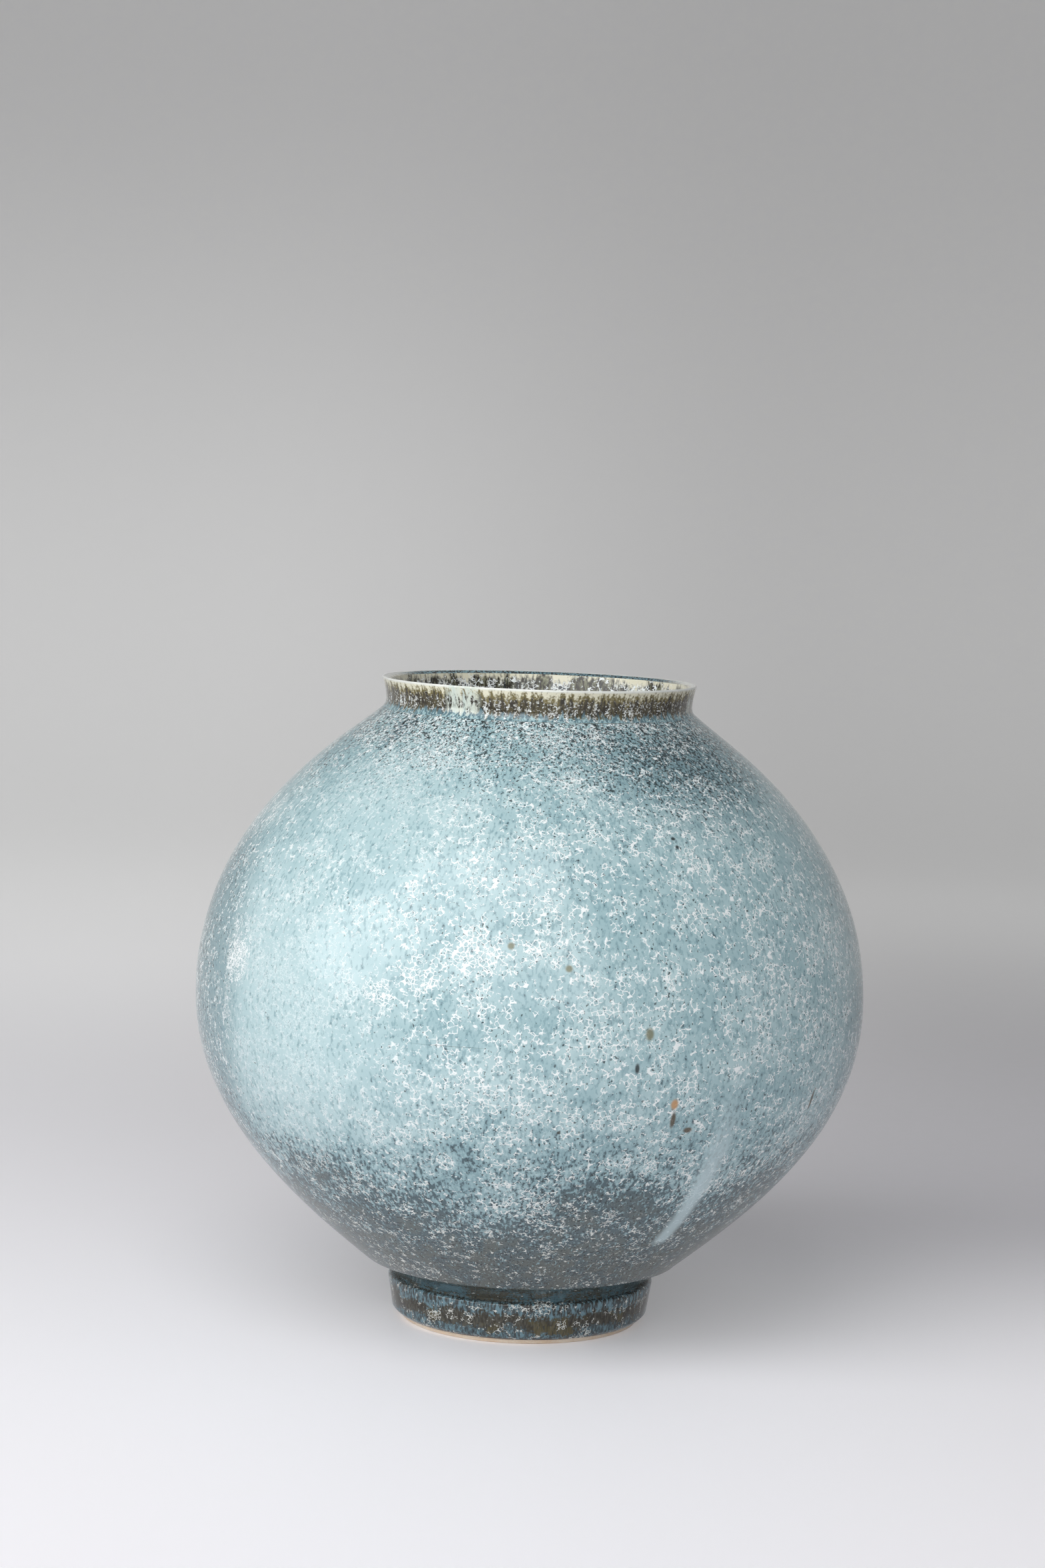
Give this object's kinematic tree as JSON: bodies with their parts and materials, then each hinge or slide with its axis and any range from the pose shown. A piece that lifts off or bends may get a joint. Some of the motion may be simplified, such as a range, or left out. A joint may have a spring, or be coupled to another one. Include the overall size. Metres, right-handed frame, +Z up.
{
  "type": "moon jar",
  "caption": "Large round moon jar in glazed stoneware with a wide low neck, a sloping lip and a narrow ring foot; stands on its foot to store or display.",
  "frame": {"origin": "on the floor plane, at the middle of the foot ring, under the jar's axis", "axes": "+Z up along the jar's axis, +X to the right and -Y towards the viewer in the picture"},
  "size_m": [0.4209, 0.421, 0.4058],
  "materials": {
    "clay": "bare fired stoneware, matt",
    "slip": "bare fired slip, matt",
    "outer_glaze": "glossy pale blue-green glaze with a broken white crystal network and iron specks",
    "inner_glaze": "glossy cream to blue-green glaze with brown runs"
  },
  "bodies": {
    "root": {"foot_ring": "clay", "lower_bowl": "clay", "upper_bowl": "clay", "mouth_collar": "clay", "foot_seam_slip": "slip", "belly_seam_slip": "slip", "neck_seam_slip": "slip", "outer_glaze": "outer_glaze", "inner_glaze": "inner_glaze"}
  },
  "joints": []
}
